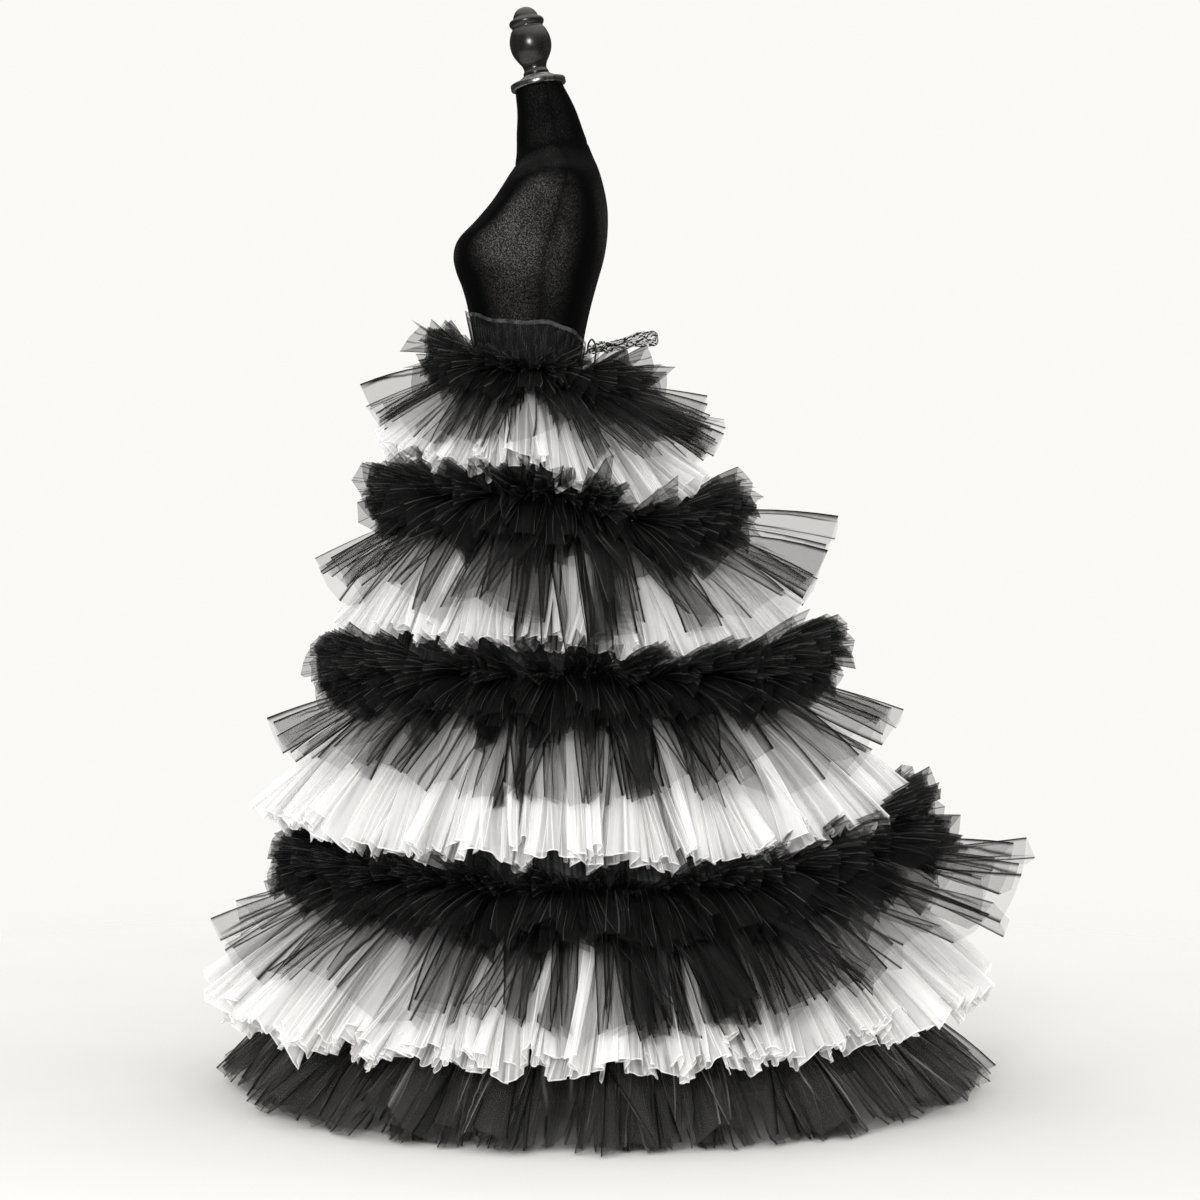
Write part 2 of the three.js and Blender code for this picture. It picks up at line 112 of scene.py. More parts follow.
# One row per gathered strip. Its gathering line lies below the ring, in millimetres, begins at start, in
# degrees, and goes round so many turns. pitch is the mean distance between pleats at the cut edge, in
# millimetres, spread how uneven it is, and fullness how much longer the cloth is than the edge. swing is
# how far bunches of pleats, single pleats and single folds stray up or down, in degrees, ragged how much
# their lengths differ, and wobble how far folds wander sideways, in millimetres. wings go from the
# gathering line to a cut edge, a ruche's upper one first, with lengths in millimetres and angles in degrees
# above level at the front, side and back.
STRIPS = table(
    "ring below start turns pitch spread fullness swing ragged wobble seed wings",
    ("ruche_1", "top", 2, 200, 1.8, 10, 0.4, 3.2, (11, 10, 6), 0.18, 4, 11,
     [((72, 80, 106), (28, 6, 10)), ((70, 98, 124), (-10, -32, -14))]),
    ("black_flounce_1", "top", 14, 70, 1.02, 12, 0.3, 3.2, (5, 3, 3), 0.03, 2.5, 12,
     [((184, 178, 232), (-28, -38, -23))]),
    ("white_flounce_1", "top", 26, 215, 1.8, 9, 0.24, 3.2, (4, 2.5, 1.5), 0.025, 1, 13,
     [((190, 188, 246), (-47, -52, -37))]),
    ("ruche_2", "second", -14, 290, 1.7, 12, 0.35, 3.2, (9, 9, 5), 0.11, 2.5, 21,
     [((102, 92, 112), (14, 16, 10)), ((98, 118, 118), (-16, -46, -16))]),
    ("black_flounce_2", "second", 14, 96, 1.03, 14, 0.32, 3.0, (5, 4, 3), 0.025, 1, 22,
     [((192, 216, 240), (-31, -41, -22))]),
    ("white_flounce_2", "second", 26, 290, 1.9, 10, 0.24, 3.2, (3, 2.5, 1.5), 0.025, 1, 23,
     [((218, 222, 230), (-55, -59, -46))]),
    ("ruche_3", "third", -14, 298, 1.7, 13, 0.35, 3.1, (6, 6, 4), 0.1, 1.5, 31,
     [((124, 106, 152), (13, 16, 17)), ((114, 124, 134), (-12, -34, -2))]),
    ("black_flounce_3", "third", 14, 112, 1.02, 15, 0.32, 3.0, (5, 4, 3), 0.025, 1, 32,
     [((196, 208, 228), (-29, -43, -22))]),
    ("white_flounce_3", "third", 26, 300, 1.9, 11, 0.26, 3.3, (3, 2.5, 1.5), 0.025, 1, 33,
     [((262, 276, 290), (-49, -57, -42))]),
    ("ruche_4", "fourth", -14, 272, 1.8, 14, 0.35, 3.2, (6, 6, 4), 0.09, 1, 41,
     [((112, 92, 158), (12, 18, 27)), ((116, 136, 172), (-12, -27, 0))]),
    ("black_flounce_4", "fourth", 14, 104, 1.02, 17, 0.27, 3.1, (6, 4, 3), 0.025, 1, 42,
     [((232, 232, 290), (-28, -35, -13))]),
    ("white_flounce_4", "fourth", 26, 310, 2.0, 11, 0.28, 2.9, (3, 2.5, 1.5), 0.028, 1, 43,
     [((268, 264, 300), (-45, -47, -43))]),
    ("hem_flounce", "fifth", 2, 280, 1.7, 14, 0.45, 3.1, (5, 5, 3), 0.05, 1.5, 51,
     [((214, 214, 240), (-44, -45, -41))]),
)
# An accent changes a strip around one direction, about spread degrees to each side. thin spaces its pleats
# out there, or crowds them if it is negative, lift turns them up by so many degrees, and longer adds to
# their length.
THIN, LIFT, LONGER = range(3)
ACCENTS = {
    # (at, spread, thin, lift, longer)
    "black_flounce_1": [(93, 13, 1.1, 0, 0), (128, 20, -0.5, 0, 0), (0, 50, 0.7, 0, 0),
        (180, 45, 0.6, 0, 0)],
    "white_flounce_1": [(140, 18, 0, -13, 0.1), (84, 16, 0, 6, -0.04)],
    "black_flounce_2": [(95, 5, -0.9, -16, 0.18), (80, 6, 0.8, 0, 0), (0, 60, 1.4, 0, 0),
        (128, 20, 0.5, 0, 0), (180, 60, 1.5, 0, 0)],
    "black_flounce_3": [(92, 18, -0.5, 0, 0), (0, 55, 1.5, 0, 0), (128, 22, 0.6, 0, 0),
        (180, 65, 1.6, 0, 0)],
    "ruche_4": [(128, 24, 0, -6, 0), (-128, 24, 0, -6, 0)],
    "black_flounce_4": [(109, 24, -1.0, 0, 0), (101, 7, 0, -9, 0.1), (0, 60, 1.5, 0, 0),
        (141, 14, 0.5, 0, 0), (180, 55, 1.6, 0, 0)],
    "hem_flounce": [(0, 50, 0.9, 0, 0), (180, 55, 1.1, 0, 0)],
}
for strip_name, strip in STRIPS.items():
    strip.look = strip_name.split("_")[0]
    strip.accents = ACCENTS.get(strip_name, [])

# How each kind of net is folded: samples across one pleat there and back, rows from the gathering line to
# the cut edge, how far folds open there into round flutes, how much those bulge, how many pleats in a row
# lean the same way, how far they lie over, how unevenly they share the cloth, and by how many degrees each
# wing starts above its angle and ends below it.
FOLDING = table(
    "samples rows roundness bulge same_way lying uneven droops",
    ("black", 4, 7, 0.1, 0.0, 3, 0.95, 0.25, (4,)),
    ("hem", 4, 7, 0.1, 0.0, 3, 0.95, 0.25, (3,)),
    ("ruche", 4, 6, 0.2, 0.0, 5, 0.95, 0.25, (8, 10)),
    ("white", 12, 6, 1.0, 0.19, 4, 0.72, 0.2, (4,)),
)

# What all strips share. Their pleats bunch up in a slow wave, with so many waves a turn, and a quick one,
# with so many pleats a wave, and single pleats differ as well.
BUNCHING = Named(slow=0.4, waves=22, quick=0.9, pleats=4, single=0.5)
SPACING_STEPS = 8192
SWING_PLEATS = 9  # pleats in each wave of the swing
LENGTH_WAVE = Named(size=0.02, waves=14)
FOLD_SHARE = 0.7  # how much single folds stray in length and wobble, as a share of the strip's own value
SIDEWAYS = Named(wave=2.5, waves=16, pleat=1.5, fold=1)  # degrees that pleats stray to the side
CURL = 4  # degrees that single pleats curl up or down
WOBBLE = Named(phase=2, rate=8)  # radians: how much its phase differs, and how far it goes on along a fold
TURN_DROP = 3  # degrees that each turn of a spiral hangs below the last
TURN_SHORTENING = 0.03  # how much shorter each turn is than the last, as a share of the length
LEAN = Named(sharpness=1.6, pleat=0.8)
ROOT_FOLD = 7  # degrees from lying flat that folds have at the gathering line
OPENING = 0.8  # how folds open on their way out: under 1, early on
FLOOR_CLEARANCE = 3 * MM


def around(turn, front, side, back):
    """A value between its front, side and back sizes, the same on the wearer's left and right."""
    c = np.cos(turn)
    return side + (np.where(c > 0, front, back) - side) * c * c


def outward(turn):
    return np.stack([np.sin(turn), -np.cos(turn), np.zeros_like(turn)], axis=-1)


def smooth_through(x, knots, values):
    """A smooth curve through a table's values."""
    slopes = np.gradient(values, knots)
    i = np.clip(np.searchsorted(knots, x, side="right") - 1, 0, len(knots) - 2)
    h = knots[i + 1] - knots[i]
    t = (x - knots[i]) / h
    start = (2 * t**3 - 3 * t**2 + 1) * values[i] + (t**3 - 2 * t**2 + t) * h * slopes[i]
    end = (3 * t**2 - 2 * t**3) * values[i + 1] + (t**3 - t**2) * h * slopes[i + 1]
    return start + end


# ---- meshes from grids of points

def put_in_scene(name, data):
    made = bpy.data.objects.new(name, data)
    bpy.context.scene.collection.objects.link(made)
    return made


def grid_object(name, grid, across=None, closed=False):
    """A mesh of quads from points as (column, row).

    The UV map Cloth counts the folds across it, and goes from 0 to 1 along its rows.
    """
    columns, rows = grid.shape[:2]
    last = columns if closed else columns - 1
    column = np.arange(last)[:, None]
    row = np.arange(rows - 1)[None, :]
    here = column * rows + row
    following = (column + 1) % columns * rows + row
    corners = [here, following, following + 1, here + 1]
    quads = np.stack(np.broadcast_arrays(*corners), axis=-1).reshape(-1, 4)
    mesh = bpy.data.meshes.new(name)
    mesh.vertices.add(columns * rows)
    mesh.vertices.foreach_set("co", grid.reshape(-1).astype(np.float32))
    mesh.loops.add(len(quads) * 4)
    mesh.loops.foreach_set("vertex_index", quads.reshape(-1).astype(np.int32))
    mesh.polygons.add(len(quads))
    mesh.polygons.foreach_set("loop_start", np.arange(0, len(quads) * 4, 4, dtype=np.int32))
    mesh.polygons.foreach_set("use_smooth", np.ones(len(quads), dtype=bool))
    mesh.update(calc_edges=True)
    if across is None:
        across = np.arange(columns, dtype=float)
    across = np.append(across, 2 * across[-1] - across[-2])
    left, right = across[:last], across[1 : last + 1]
    out = np.arange(rows) / (rows - 1)
    low, high = out[:-1], out[1:]
    u = np.stack([left, right, right, left], axis=-1)[:, None, :]
    v = np.stack([low, low, high, high], axis=-1)[None, :, :]
    uv = np.stack(np.broadcast_arrays(u, v), axis=-1)
    mesh.uv_layers.new(name="Cloth").data.foreach_set("uv", uv.reshape(-1).astype(np.float32))
    return put_in_scene(name, mesh)


def capped(grid):
    """A tube of points closed at both ends by its middle points there."""
    ends = [np.repeat(grid[:, k].mean(axis=0)[None, None], len(grid), axis=0) for k in (0, -1)]
    return np.concatenate([ends[0], grid, ends[1]], axis=1)


def weld(piece):
    """Joins a closed shape's coincident points, where it meets its axis."""
    welded = bmesh.new()
    welded.from_mesh(piece.data)
    bmesh.ops.remove_doubles(welded, verts=welded.verts, dist=0.001 * MM)
    welded.to_mesh(piece.data)
    welded.free()


# ---- gathered strips

def ring_point(name, turn):
    """Inner face of the base skirt where it passes a ring."""
    ring = RINGS[name]
    sag = np.where(np.cos(turn) < 0, np.sin(2 * turn) ** 2, 0) * ring.sag
    x = ring.half * np.sin(turn)
    y = (ring.front + ring.back) / 2 - (ring.back - ring.front) / 2 * np.cos(turn)
    z = around(turn, ring.z_front, ring.z_side, ring.z_back) - sag
    return np.stack([x, y, z], axis=-1) * MM


def seam_point(name, turn, below):
    """Outer face of the base skirt, so many millimetres below a ring, or above it where that is negative."""
    step = 1 if below > 0 else -1
    following = RING_ORDER[RING_ORDER.index(name) + step]
    here, there = ring_point(name, turn), ring_point(following, turn)
    along = there - here
    share = abs(below) * MM / np.linalg.norm(along, axis=-1, keepdims=True)
    return here + along * share + outward(turn) * (SKIRT_WALL + 1) * MM


NOISE_SINES = 5


def smooth_noise(turn, rng, waves):
    """A wandering value of unit size along a strip, with about this many waves a turn."""
    value = np.zeros_like(turn)
    for _ in range(NOISE_SINES):
        rate = rng.uniform(0.4, 1.6) * waves
        value += np.sin(rate * turn + rng.uniform(0, TAU))
    return value / math.sqrt(NOISE_SINES / 2)


def edge_radius(spec, turn, reach):
    """Length along an edge for each radian, at a reach in metres outside the gathering line."""
    ring = RINGS[spec.ring]
    half = ring.half * MM + reach
    depth = (ring.back - ring.front) / 2 * MM + reach
    return np.hypot(half * np.cos(turn), depth * np.sin(turn))


def wing_mean(wing, turn):
    """A wing's plain length in metres, and its angle in radians above level."""
    lengths, angles = wing
    return around(turn, *lengths) * MM, np.radians(around(turn, *angles))


def accent_sum(spec, turn, change):
    """What a strip's accents add to one value along it."""
    total = np.zeros_like(turn)
    for at, spread, *changes in spec.accents:
        away = (np.degrees(turn) - at + 180) % 360 - 180
        total += changes[change] * np.exp(-((away / spread) ** 2))
    return total


def pleat_starts(spec, rng):
    """Where each pleat begins, in radians from the front."""
    turn = math.radians(spec.start)
    end = turn + spec.turns * TAU
    samples = np.linspace(turn, end, SPACING_STEPS)
    length, angle = wing_mean(spec.wings[-1], samples)
    radius = edge_radius(spec, samples, length * np.cos(angle))
    pleats_a_turn = TAU * radius.mean() / (spec.pitch * MM)
    slow = BUNCHING.slow * smooth_noise(samples, rng, BUNCHING.waves)
    quick = BUNCHING.quick * smooth_noise(samples, rng, pleats_a_turn / BUNCHING.pleats)
    crowding = spec.spread * (slow + quick) + accent_sum(spec, samples, THIN)
    spacing = spec.pitch * MM * np.exp(crowding) / radius
    starts = [turn]
    last = SPACING_STEPS - 1
    while turn < end:
        k = min(int((turn - samples[0]) / (end - samples[0]) * last), last)
        turn += spacing[k] * rng.lognormal(0, BUNCHING.single * spec.spread)
        starts.append(turn)
    return np.array(starts)


def per_sample(valleys, crests, samples):
    """Values at every sample, straight from each valley to its crest and on to the next valley."""
    share = np.abs(1 - 2 * np.arange(samples) / samples)
    first_half = np.arange(samples) < samples / 2
    count = len(crests)
    low = np.where(first_half, valleys[:count, None], valleys[1 : count + 1, None])
    values = low * share + crests[:, None] * (1 - share)
    return np.append(values.ravel(), valleys[count])


class Pleats:
    """The pleats of one strip. What is random about them is drawn once, at every sample along the strip."""

    def __init__(self, spec):
        self.spec = spec
        self.folding = FOLDING[spec.look]
        self.rng = np.random.default_rng(SEED + spec.seed)
        starts = pleat_starts(spec, self.rng)
        self.count = len(starts) - 1
        self.a_turn = self.count / spec.turns
        samples = self.folding.samples
        pleat = np.repeat(np.arange(self.count), samples)
        within = np.tile(np.arange(samples) / samples, self.count)
        self.step = np.append(pleat + within, self.count)
        self.turn = np.interp(self.step, np.arange(self.count + 1), starts)
        self.draw_strays()
        self.draw_folds((starts[-1] - starts[0]) / self.count)

    def wave(self, waves):
        return smooth_noise(self.turn, self.rng, waves)

    def by_pleat(self, size):
        """Values that stray this much from pleat to pleat."""
        valleys = size * self.rng.standard_normal(self.count + 1)
        return per_sample(valleys, (valleys[:-1] + valleys[1:]) / 2, self.folding.samples)

    def by_fold(self, size):
        """Values that stray this much from fold to fold."""
        valleys = size * self.rng.standard_normal(self.count + 1)
        crests = size * self.rng.standard_normal(self.count)
        return per_sample(valleys, crests, self.folding.samples)

    def draw_strays(self):
        """How far the pleats stray from their wing: up, in length, sideways, in curl and in wobble."""
        spec = self.spec
        turns_done = (self.turn - self.turn[0]) / TAU
        bunch, pleat, fold = spec.swing
        swing = bunch * self.wave(self.a_turn / SWING_PLEATS) + self.by_pleat(pleat) + self.by_fold(fold)
        swing += accent_sum(spec, self.turn, LIFT)
        swing += TURN_DROP * (spec.turns / 2 - turns_done)
        self.swing = np.radians(swing)

        ragged = spec.ragged
        stretch = 1 + LENGTH_WAVE.size * self.wave(LENGTH_WAVE.waves)
        stretch = stretch + self.by_pleat(ragged) + self.by_fold(FOLD_SHARE * ragged)
        stretch -= TURN_SHORTENING * turns_done
        self.stretch = stretch + accent_sum(spec, self.turn, LONGER)

        sideways = SIDEWAYS.wave * self.wave(SIDEWAYS.waves)
        sideways = sideways + self.by_pleat(SIDEWAYS.pleat) + self.by_fold(SIDEWAYS.fold)
        self.sideways = np.radians(sideways)
        self.curl = self.by_pleat(CURL)
        self.wobble = self.by_fold(FOLD_SHARE * spec.wobble * MM)
        self.wobble_phase = self.by_fold(WOBBLE.phase)

    def draw_folds(self, mean_pitch):
        """How much cloth each pleat takes, in radians round the skirt, and which way its folds lie."""
        folding = self.folding
        uneven = self.rng.lognormal(0, folding.uneven, self.count)
        cloth = self.spec.fullness * mean_pitch * np.repeat(uneven, folding.samples)
        self.cloth = np.append(cloth, cloth[-1])
        lean = self.wave(self.a_turn / folding.same_way / 2)
        lean = np.tanh(LEAN.sharpness * lean + self.by_pleat(LEAN.pleat))
        self.hem_fold = np.arccos(folding.lying * lean)
        self.root_fold = np.where(lean > 0, math.radians(ROOT_FOLD), math.radians(180 - ROOT_FOLD))

    def section(self, out_share, half_run):
        """How far points lie to the side of the strip's line and above it, at a share of the way out."""
        sharp = 1 - np.abs(1 - 2 * (self.step % 1))  # 0 in a valley, 1 on a crest
        rounded = (1 - np.cos(TAU * self.step)) / 2
        wave = sharp + (rounded - sharp) * self.folding.roundness * out_share
        bulging = 2 * half_run / self.spec.fullness * self.folding.bulge * np.sin(2 * TAU * self.step)
        fold_angle = self.root_fold + (self.hem_fold - self.root_fold) * out_share**OPENING
        aside = half_run * np.cos(fold_angle) * wave + bulging * out_share
        above = half_run * np.sin(fold_angle) * (wave - 0.5)
        return aside, above

    def wing_points(self, wing, droop):
        """Points of one wing as (column, row), from the gathering line to the cut edge."""
        spec, rows = self.spec, self.folding.rows
        length, angle = wing_mean(wing, self.turn)
        length = length * self.stretch
        base = angle + self.swing
        droop = np.radians(droop + self.curl)
        half_run = self.cloth * edge_radius(spec, self.turn, length * np.cos(angle)) / 2
        out = np.zeros_like(self.turn)
        up = np.zeros_like(self.turn)
        points = []
        for row in range(rows + 1):
            share = row / rows
            tilt = base + droop * (1 - 2 * share)
            if row:
                out = out + np.cos(tilt) * length / rows
                up = up + np.sin(tilt) * length / rows
            aside, above = self.section(share, half_run)
            wandering = self.wobble * np.sin(self.wobble_phase + WOBBLE.rate * share) * share
            aside += self.sideways * length * share * share + wandering
            turn = self.turn + aside / edge_radius(spec, self.turn, out)
            place = seam_point(spec.ring, turn, spec.below)
            place = place + outward(turn) * (out - above * np.sin(tilt))[:, None]
            place[:, 2] += up + above * np.cos(tilt)
            points.append(place)
        return np.stack(points, axis=1)


def strip_points(spec):
    """Points of a strip as (column, row), and the fold count at each column."""
    pleats = Pleats(spec)
    wings = [pleats.wing_points(*pair) for pair in zip(spec.wings, pleats.folding.droops)]
    grid = wings[0]
    if len(wings) == 2:
        grid = np.concatenate([wings[0][:, ::-1], wings[1][:, 1:]], axis=1)
    height = grid[:, :, 2]
    # Net that would sink into the floor lies on it, at two levels so that its layers don't coincide.
    lying = FLOOR_CLEARANCE * (1.1 - 0.1 * np.sign(height))
    grid[:, :, 2] = np.where(height < FLOOR_CLEARANCE, lying, height)
    return grid, pleats.step * 2


# ---- materials

def grey(value):
    return (value, value, value)


class Nodes:
    """Short calls for building the node tree of one material, or of the world."""

    def __init__(self, name, kind="Material"):
        group = bpy.data.materials if kind == "Material" else bpy.data.worlds
        self.owner = group.new(name)
        self.owner.use_nodes = True
        self.tree = self.owner.node_tree
        self.tree.nodes.clear()
        self.output = self.tree.nodes.new("ShaderNodeOutput" + kind)

    def put(self, socket, value):
        if isinstance(value, bpy.types.NodeSocket):
            self.tree.links.new(value, socket)
        elif isinstance(value, tuple) and len(value) == 3 and len(socket.default_value) == 4:
            socket.default_value = (*value, 1)
        else:
            socket.default_value = value

    def add(self, kind, settings=None, **inputs):
        """A node with its settings and, by socket name with _ for spaces, its inputs."""
        node = self.tree.nodes.new("ShaderNode" + kind)
        for key, value in (settings or {}).items():
            setattr(node, key, value)
        for key, value in inputs.items():
            self.put(node.inputs[key.replace("_", " ")], value)
        return node

    def math(self, operation, *values, clamp=False):
        node = self.add("Math", dict(operation=operation, use_clamp=clamp))
        for socket, value in zip(node.inputs, values):
            self.put(socket, value)
        return node.outputs[0]

    def times(self, value, *others):
        for other in others:
            value = self.math("MULTIPLY", value, other)
        return value

    def step(self, value, low, high, to_low=0.0, to_high=1.0):
        """Smoothly from to_low, where the value is low or less, to to_high, where it is high or more."""
        node = self.add("MapRange", dict(interpolation_type="SMOOTHSTEP"))
        for socket, number in zip(node.inputs, (value, low, high, to_low, to_high)):
            self.put(socket, number)
        return node.outputs[0]

    def colour(self, factor, first, second):
        node = self.add("Mix", dict(data_type="RGBA"))
        for index, value in ((0, factor), (6, first), (7, second)):
            self.put(node.inputs[index], value)
        return node.outputs[2]

    def blend(self, factor, first, second):
        node = self.add("MixShader")
        for socket, value in zip(node.inputs, (factor, first, second)):
            self.put(socket, value)
        return node.outputs[0]

    def place(self):
        """Where a point is on the object, in metres."""
        return self.add("TexCoord").outputs["Object"]

    def cloth(self):
        """Where a point is on the cloth: the folds counted across it, and its share of the way out."""
        return self.add("UVMap", dict(uv_map="Cloth")).outputs[0]

    def stretched(self, vector, scale):
        return self.add("Mapping", Vector=vector, Scale=scale).outputs[0]

    def axes(self, vector):
        return self.add("SeparateXYZ", Vector=vector).outputs

    def noise(self, scale, detail=2.0, vector=None, roughness=0.5):
        if vector is None:
            vector = self.place()
        node = self.add("TexNoise", Vector=vector, Scale=scale, Detail=detail, Roughness=roughness)
        return node.outputs[0]

    def bump(self, height, strength, distance):
        return self.add("Bump", Strength=strength, Distance=distance, Height=height).outputs[0]

    def diffuse(self, tint):
        return self.add("BsdfDiffuse", Color=tint).outputs[0]

    def over_nothing(self, cover, shader):
        """A shader that hides this share of what lies behind."""
        return self.blend(cover, self.add("BsdfTransparent").outputs[0], shader)

    def principled(self, **inputs):
        return self.finish(self.add("BsdfPrincipled", **inputs).outputs[0])

    def finish(self, shader):
        self.tree.links.new(shader, self.output.inputs["Surface"])
        return self.owner


# How each net looks. cover is how much one layer hides of what lies behind, and fold, wall, gather and root
# the same at its folds, between them, at fine gathers and near the gathering line. hem is the width of its
# marked cut edge, as a share of the length, crease and fine how wide folds and gathers are marked, as
# shares of the space between them, gathers how many cross each wall, and through the share of light that it
# lets through. Folds and gathers have colours between lit and edge, at random, nearer to edge further out,
# and face is the colour of the rest. On the black nets lit is a painted highlight on folds and gathers,
# and on the ruche edge is the same painted highlight; on the white net both are only a denser white.
NETS = table(
    "cover fold wall gather root hem crease gathers fine through face lit edge",
    ("hem", 0.28, 0.97, 0.28, 0.95, 0.5, 0.0, 0.1, 4.0, 0.16, 0.3,
     (0.065, 0.063, 0.062), (0.2, 0.194, 0.19), (0.004, 0.0039, 0.0038)),
    ("black", 0.2, 0.98, 0.2, 0.9, 0.45, 0.0, 0.09, 2.0, 0.12, 0.3,
     (0.027, 0.026, 0.0257), (0.055, 0.0535, 0.053), (0.006, 0.0058, 0.0057)),
    ("ruche", 0.45, 0.95, 0.45, 0.85, 0.45, 0.0, 0.06, 2.0, 0.1, 0.3,
     (0.013, 0.0126, 0.0124), (0.055, 0.0535, 0.053), (0.055, 0.0535, 0.053)),
    ("white", 0.5, 0.8, 0.86, 0.85, 0.6, 0.005, 0.06, 2.0, 0.09, 0.45,
     (0.84, 0.835, 0.83), (0.92, 0.915, 0.91), (0.96, 0.955, 0.95)),
)

# Fine gathers start in the middle part of their space. They drift and bend on their way out, as a share of
# it, and bend at a rate and with phases in radians. Each has its own length, and fades out at its end.
GATHER = Named(
    spread=0.5, first=0.25, wander=0.5, bend=0.12, rate=11.0, phase=9.0, longer=1.1, shortest=0.1, fade=0.25)
ROOT_SHARE = 0.5  # how far out the denser net near the gathering line reaches
WALL = Named(from_fold=(0.2, 0.4), out=(0.2, 0.8))  # where walls become dense
# How a fold or gather's colour is drawn between lit and edge: at random, and nearer to edge further out, so
# that on black net fewer of them get the painted highlight there.
DARKENING = Named(chance=1.5, nearer=0.75, span=(0.15, 0.6))


def fine_gathers(tree, look, folds, out):
    """How close a point is to a fine gather, and the random value from 0 to 1 that the gather has."""
    cells = tree.times(folds, look.gathers)
    chance = tree.add("TexWhiteNoise", dict(noise_dimensions="1D"), W=tree.math("FLOOR", cells))
    random = tree.axes(chance.outputs["Color"])
    middle = tree.math("MULTIPLY_ADD", chance.outputs["Value"], GATHER.spread, GATHER.first)
    drift = tree.times(tree.math("SUBTRACT", random[0], 0.5), out)
    phase = tree.times(random[2], GATHER.phase)
    bend = tree.math("SINE", tree.math("MULTIPLY_ADD", out, GATHER.rate, phase))
    drift = tree.math("MULTIPLY_ADD", bend, GATHER.bend, drift)
    centre = tree.math("MULTIPLY_ADD", drift, GATHER.wander, middle)
    away = tree.math("ABSOLUTE", tree.math("SUBTRACT", tree.math("FRACT", cells), centre))
    line = tree.step(away, 0.0, look.fine, 1.0, 0.0)
    reach = tree.math("MULTIPLY_ADD", random[1], GATHER.longer, GATHER.shortest)
    fading = tree.step(tree.math("SUBTRACT", reach, out), 0.0, GATHER.fade)
    return tree.times(line, fading), random[0]


def net_material(name, look):
    """Fine net: see-through between its threads, denser along its folds, gathers and cut edge, where black
    net also gets a painted highlight at random.
    """
    tree = Nodes(name)
    folds, out, _ = tree.axes(tree.cloth())
    from_fold = tree.math("PINGPONG", folds, 0.5)
    crease = tree.step(from_fold, 0.0, look.crease, 1.0, 0.0)
    if look.hem:
        cut_edge = tree.step(out, 1 - 2 * look.hem, 1 - look.hem)
        crease = tree.math("MAXIMUM", crease, cut_edge)
    line, chance = fine_gathers(tree, look, folds, out)

    cover = tree.step(out, 0.0, ROOT_SHARE, look.root, look.cover)
    if look.wall > look.cover:
        wall = tree.step(from_fold, *WALL.from_fold)
        wall = tree.times(wall, tree.step(out, *WALL.out))
        cover = tree.math("MULTIPLY_ADD", wall, look.wall - look.cover, cover)
    cover = tree.math("MULTIPLY_ADD", line, look.gather - look.cover, cover)
    cover = tree.math("MULTIPLY_ADD", crease, look.fold - look.cover, cover, clamp=True)

    # At random, folds and gathers get the lit colour, which is a painted highlight on black net, or their
    # edge colour; further out more of them get edge.
    darkening = tree.math("SUBTRACT", out, DARKENING.nearer)
    darkening = tree.math("MULTIPLY_ADD", chance, DARKENING.chance, darkening)
    marked = tree.colour(tree.step(darkening, *DARKENING.span), look.lit, look.edge)
    tint = tree.colour(tree.math("MAXIMUM", crease, line), look.face, marked)
    lit_through = tree.add("BsdfTranslucent", Color=tint).outputs[0]
    threads = tree.blend(look.through, tree.diffuse(tint), lit_through)
    return tree.finish(tree.over_nothing(cover, threads))


# The velvet's colour in painted shade and in painted light.
PILE_IN_PAINTED_SHADE = (0.0012, 0.0011, 0.0011)
PILE_IN_PAINTED_LIGHT = (0.085, 0.0825, 0.08)


def painted_velvet_light(tree):
    """Painted light on the pile: on the sides, front and back of the bodice and on top, less behind and on
    the neck, with painted shade along the seams.
    """
    normal = tree.axes(tree.add("NewGeometry").outputs["Normal"])
    _, depth, height = tree.axes(tree.place())
    # Painted light on surfaces facing the sides, growing up the bodice, fading on the neck, and weaker
    # behind.
    sideways = tree.step(tree.math("ABSOLUTE", normal[0]), 0.6, 1.08)
    rising = tree.step(height, 1.16, 1.41, 0.32, 1.15)
    bodice = tree.times(rising, tree.step(height, 1.39, 1.47, 1.0, 0.14))
    behind = tree.step(depth, 0.02, 0.1, 1.0, 0.45)
    painted_pile_light = tree.times(sideways, bodice, behind)
    # Painted light on surfaces facing front or back on the bodice.
    lengthways = tree.step(tree.math("ABSOLUTE", normal[1]), 0.86, 1.0, 0.0, 0.4)
    painted_pile_light = tree.math("MAXIMUM", painted_pile_light, tree.times(lengthways, bodice))
    # A painted highlight on surfaces facing up, mostly at the front: the tops of the shoulders.
    upwards = tree.step(normal[2], 0.45, 0.8, 0.0, 0.25)
    painted_top_highlight = tree.times(upwards, tree.step(depth, 0.03, 0.08, 1.0, 0.2))
    painted_pile_light = tree.math("MAXIMUM", painted_pile_light, painted_top_highlight)
    # Painted shade along the seams takes away up to three quarters of the painted light.
    seam = tree.add("Attribute", dict(attribute_name="seam")).outputs["Fac"]
    return tree.times(painted_pile_light, tree.step(seam, 0.0, 1.0, 1.0, 0.25))


